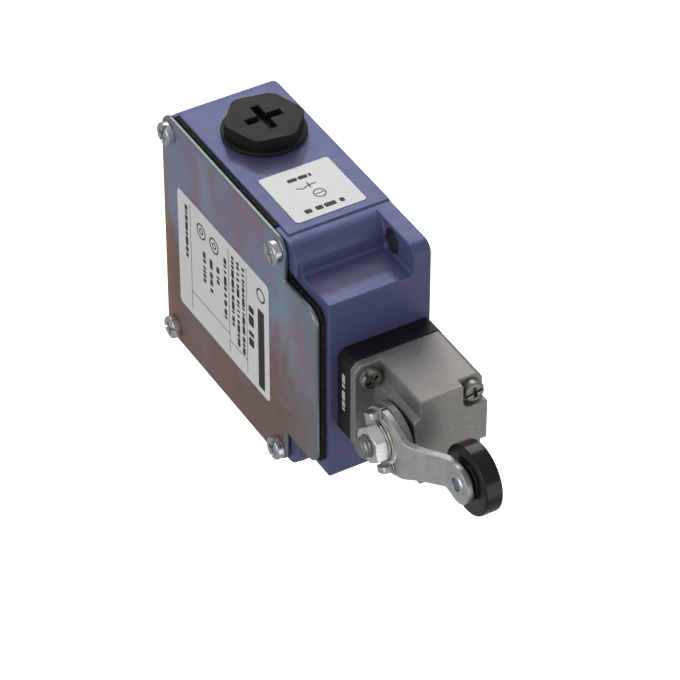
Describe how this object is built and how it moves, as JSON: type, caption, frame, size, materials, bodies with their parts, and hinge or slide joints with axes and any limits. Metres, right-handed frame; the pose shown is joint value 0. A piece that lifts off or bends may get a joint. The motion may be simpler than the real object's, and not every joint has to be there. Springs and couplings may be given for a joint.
{
  "type": "limit switch",
  "caption": "Metal-bodied limit switch with a cranked roller lever on a screwed head, a flat cover, fixing ears and threaded cable entries.",
  "frame": {"origin": "on the flat mounting back of the body, on the middle plane, 30 mm above the body's bottom face", "axes": "+Z from the body towards the head and lever, +Y out of the mounting back towards the machine, so the cover faces -Y, +X to the right seen from the cover"},
  "size_m": [0.0724, 0.0299, 0.1183],
  "materials": {
    "housing_paint": "satin",
    "cover_metal": "satin",
    "gasket_rubber": "matte",
    "label_foil": "satin",
    "label_white": "satin",
    "plug_plastic": "matte",
    "head_metal": "satin",
    "adapter_plastic": "satin",
    "roller_plastic": "glossy",
    "lever_steel": "satin",
    "fastener_steel": "bright",
    "shaft_steel": "satin",
    "bearing_bronze": "satin",
    "inner_plastic": "matte"
  },
  "bodies": {
    "housing": {"body_housing": "housing_paint", "contact_base_a": "inner_plastic", "contact_base_b": "inner_plastic", "contact_spring_a": "shaft_steel", "contact_spring_b": "shaft_steel", "cover_gasket": "gasket_rubber", "cover_label": "label_foil", "cover_plate": "cover_metal", "cover_screw_1": "fastener_steel", "cover_screw_2": "fastener_steel", "cover_screw_3": "fastener_steel", "cover_screw_4": "fastener_steel", "earth_clamp": "bearing_bronze", "earth_screw": "fastener_steel", "fixed_contact_a1": "bearing_bronze", "fixed_contact_a2": "bearing_bronze", "fixed_contact_a3": "bearing_bronze", "fixed_contact_a4": "bearing_bronze", "fixed_contact_b1": "bearing_bronze", "fixed_contact_b2": "bearing_bronze", "fixed_contact_b3": "bearing_bronze", "fixed_contact_b4": "bearing_bronze", "head_adapter": "adapter_plastic", "head_gasket": "gasket_rubber", "head_housing": "head_metal", "head_screw_1": "fastener_steel", "head_screw_2": "fastener_steel", "head_screw_3": "fastener_steel", "head_screw_4": "fastener_steel", "plug_left": "plug_plastic", "plug_right": "plug_plastic", "plug_washer_left": "gasket_rubber", "plug_washer_right": "gasket_rubber", "return_spring": "shaft_steel", "shaft_bush": "bearing_bronze", "shaft_seal": "gasket_rubber", "side_label": "label_white", "terminal_screw_a1": "fastener_steel", "terminal_screw_a2": "fastener_steel", "terminal_screw_b1": "fastener_steel", "terminal_screw_b2": "fastener_steel"},
    "lever": {"lever_shaft": "shaft_steel", "shaft_cam": "shaft_steel", "hub_disc": "head_metal", "lever_arm": "lever_steel", "lock_washer": "fastener_steel", "clamp_nut": "fastener_steel", "roller_axle": "fastener_steel", "roller_washer": "fastener_steel"},
    "roller_wheel": {"roller": "roller_plastic"},
    "plunger": {"cam_follower": "inner_plastic", "transfer_yoke": "inner_plastic"},
    "contact_slide_a": {"contact_plunger_a": "inner_plastic", "contact_bridge_a": "bearing_bronze"},
    "contact_slide_b": {"contact_plunger_b": "inner_plastic", "contact_bridge_b": "bearing_bronze"}
  },
  "joints": [
    {"name": "lever_turn", "type": "hinge", "parent": "housing", "child": "lever", "pos_m": [0, -0.019, 0.06], "axis": [0, 1, 0], "range_deg": [-45, 45], "stiffness_Nm_per_rad": 0.06},
    {"name": "roller_spin", "type": "hinge", "parent": "lever", "child": "roller_wheel", "pos_m": [0, -0.01235, 0.08005], "axis": [0, 1, 0], "continuous": true},
    {"name": "plunger_travel", "type": "slide", "parent": "housing", "child": "plunger", "axis": [0, 0, -1], "range_m": [0, 0.0025], "stiffness_N_per_m": 400, "deforming": ["return_spring", "contact_spring_a", "contact_spring_b"]},
    {"name": "contact_travel_a", "type": "slide", "parent": "housing", "child": "contact_slide_a", "axis": [0, 0, -1], "range_m": [0, 0.0025]},
    {"name": "contact_travel_b", "type": "slide", "parent": "housing", "child": "contact_slide_b", "axis": [0, 0, -1], "range_m": [0, 0.0025]}
  ],
  "couplings": [
    {"joint": "contact_travel_a", "follows": "plunger_travel", "ratio": 1},
    {"joint": "contact_travel_b", "follows": "plunger_travel", "ratio": 1}
  ]
}
